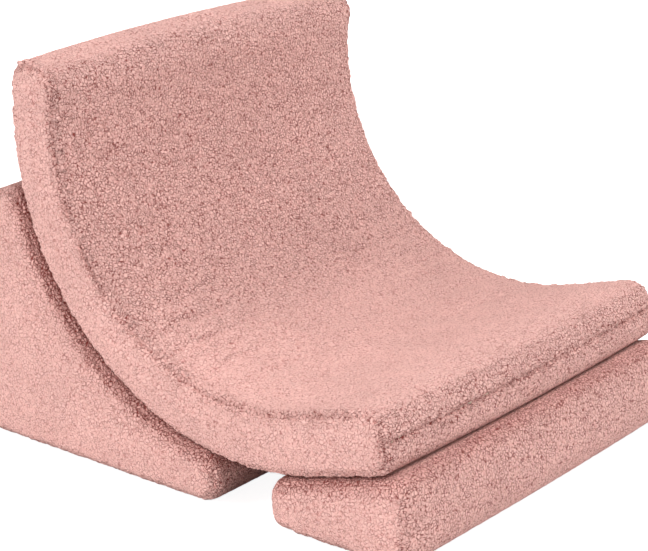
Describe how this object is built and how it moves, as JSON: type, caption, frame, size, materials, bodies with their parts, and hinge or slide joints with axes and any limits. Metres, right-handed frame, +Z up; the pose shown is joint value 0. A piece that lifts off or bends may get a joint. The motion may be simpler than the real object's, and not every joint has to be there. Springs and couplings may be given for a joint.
{
  "type": "children's moon chair",
  "caption": "Soft foam seat for a small child: a curved slab cushion with a raised back, resting on a rear wedge cushion and a low front block, each in a zipped teddy fleece cover.",
  "frame": {"origin": "on the floor under the middle of the chair's bounding box", "axes": "+X along the chair's width, -Y towards the front edge where the child's legs hang, +Y towards the raised back, +Z up"},
  "size_m": [0.5054, 0.5858, 0.4342],
  "materials": {
    "teddy_cover": "dusty pink teddy fleece with small curled nubs",
    "foam": "cream open-cell foam",
    "zip_tape": "woven tape with moulded teeth, dyed to match",
    "zip_metal": "plain nickel-coloured metal"
  },
  "bodies": {
    "wedge": {"wedge_foam_core": "foam", "wedge_base_panel": "teddy_cover", "wedge_back_panel_lower": "teddy_cover", "wedge_back_panel_upper": "teddy_cover", "wedge_face_panel": "teddy_cover", "wedge_side_panel_left": "teddy_cover", "wedge_side_panel_right": "teddy_cover", "wedge_zip_lower_tape": "zip_tape", "wedge_zip_upper_tape": "zip_tape", "wedge_zip_bottom_stop": "zip_metal"},
    "wedge_slider": {"wedge_zip_slider": "zip_metal", "wedge_zip_slider_back": "zip_metal"},
    "wedge_pull": {"wedge_zip_pull": "zip_metal"},
    "seat": {"seat_foam_core": "foam", "seat_face_panel": "teddy_cover", "seat_under_panel_front": "teddy_cover", "seat_under_panel_rear": "teddy_cover", "seat_side_panel_left": "teddy_cover", "seat_side_panel_right": "teddy_cover", "seat_zip_front_tape": "zip_tape", "seat_zip_rear_tape": "zip_tape", "seat_zip_bottom_stop": "zip_metal"},
    "seat_slider": {"seat_zip_slider": "zip_metal", "seat_zip_slider_back": "zip_metal"},
    "seat_pull": {"seat_zip_pull": "zip_metal"},
    "block": {"block_foam_core": "foam", "block_base_panel": "teddy_cover", "block_top_panel": "teddy_cover", "block_side_panel_left": "teddy_cover", "block_side_panel_right": "teddy_cover", "block_zip_lower_tape": "zip_tape", "block_zip_upper_tape": "zip_tape", "block_zip_bottom_stop": "zip_metal"},
    "block_slider": {"block_zip_slider": "zip_metal", "block_zip_slider_back": "zip_metal"},
    "block_pull": {"block_zip_pull": "zip_metal"}
  },
  "joints": [
    {"name": "seat_lift", "type": "slide", "parent": "wedge", "child": "seat", "axis": [0, 0, 1], "range_m": [0, 0.35]},
    {"name": "block_pull_out", "type": "slide", "parent": "wedge", "child": "block", "axis": [0, -1, 0], "range_m": [0, 0.3]},
    {"name": "seat_zip_slide", "type": "slide", "parent": "seat", "child": "seat_slider", "axis": [-1, 0, 0], "range_m": [0, 0.258]},
    {"name": "wedge_zip_slide", "type": "slide", "parent": "wedge", "child": "wedge_slider", "axis": [-1, 0, 0], "range_m": [0, 0.258]},
    {"name": "block_zip_slide", "type": "slide", "parent": "block", "child": "block_slider", "axis": [-1, 0, 0], "range_m": [0, 0.258]},
    {"name": "seat_pull_swing", "type": "hinge", "parent": "seat_slider", "child": "seat_pull", "pos_m": [0.1297, -0.08462, 0.05428], "axis": [0, 1, 0], "range_deg": [-80, 80]},
    {"name": "wedge_pull_swing", "type": "hinge", "parent": "wedge_slider", "child": "wedge_pull", "pos_m": [0.1297, 0.28987, 0.07], "axis": [0, 0, -1], "range_deg": [0, 170]},
    {"name": "block_pull_swing", "type": "hinge", "parent": "block_slider", "child": "block_pull", "pos_m": [0.1297, -0.11617, 0.028], "axis": [0, 0, -1], "range_deg": [0, 170]}
  ]
}
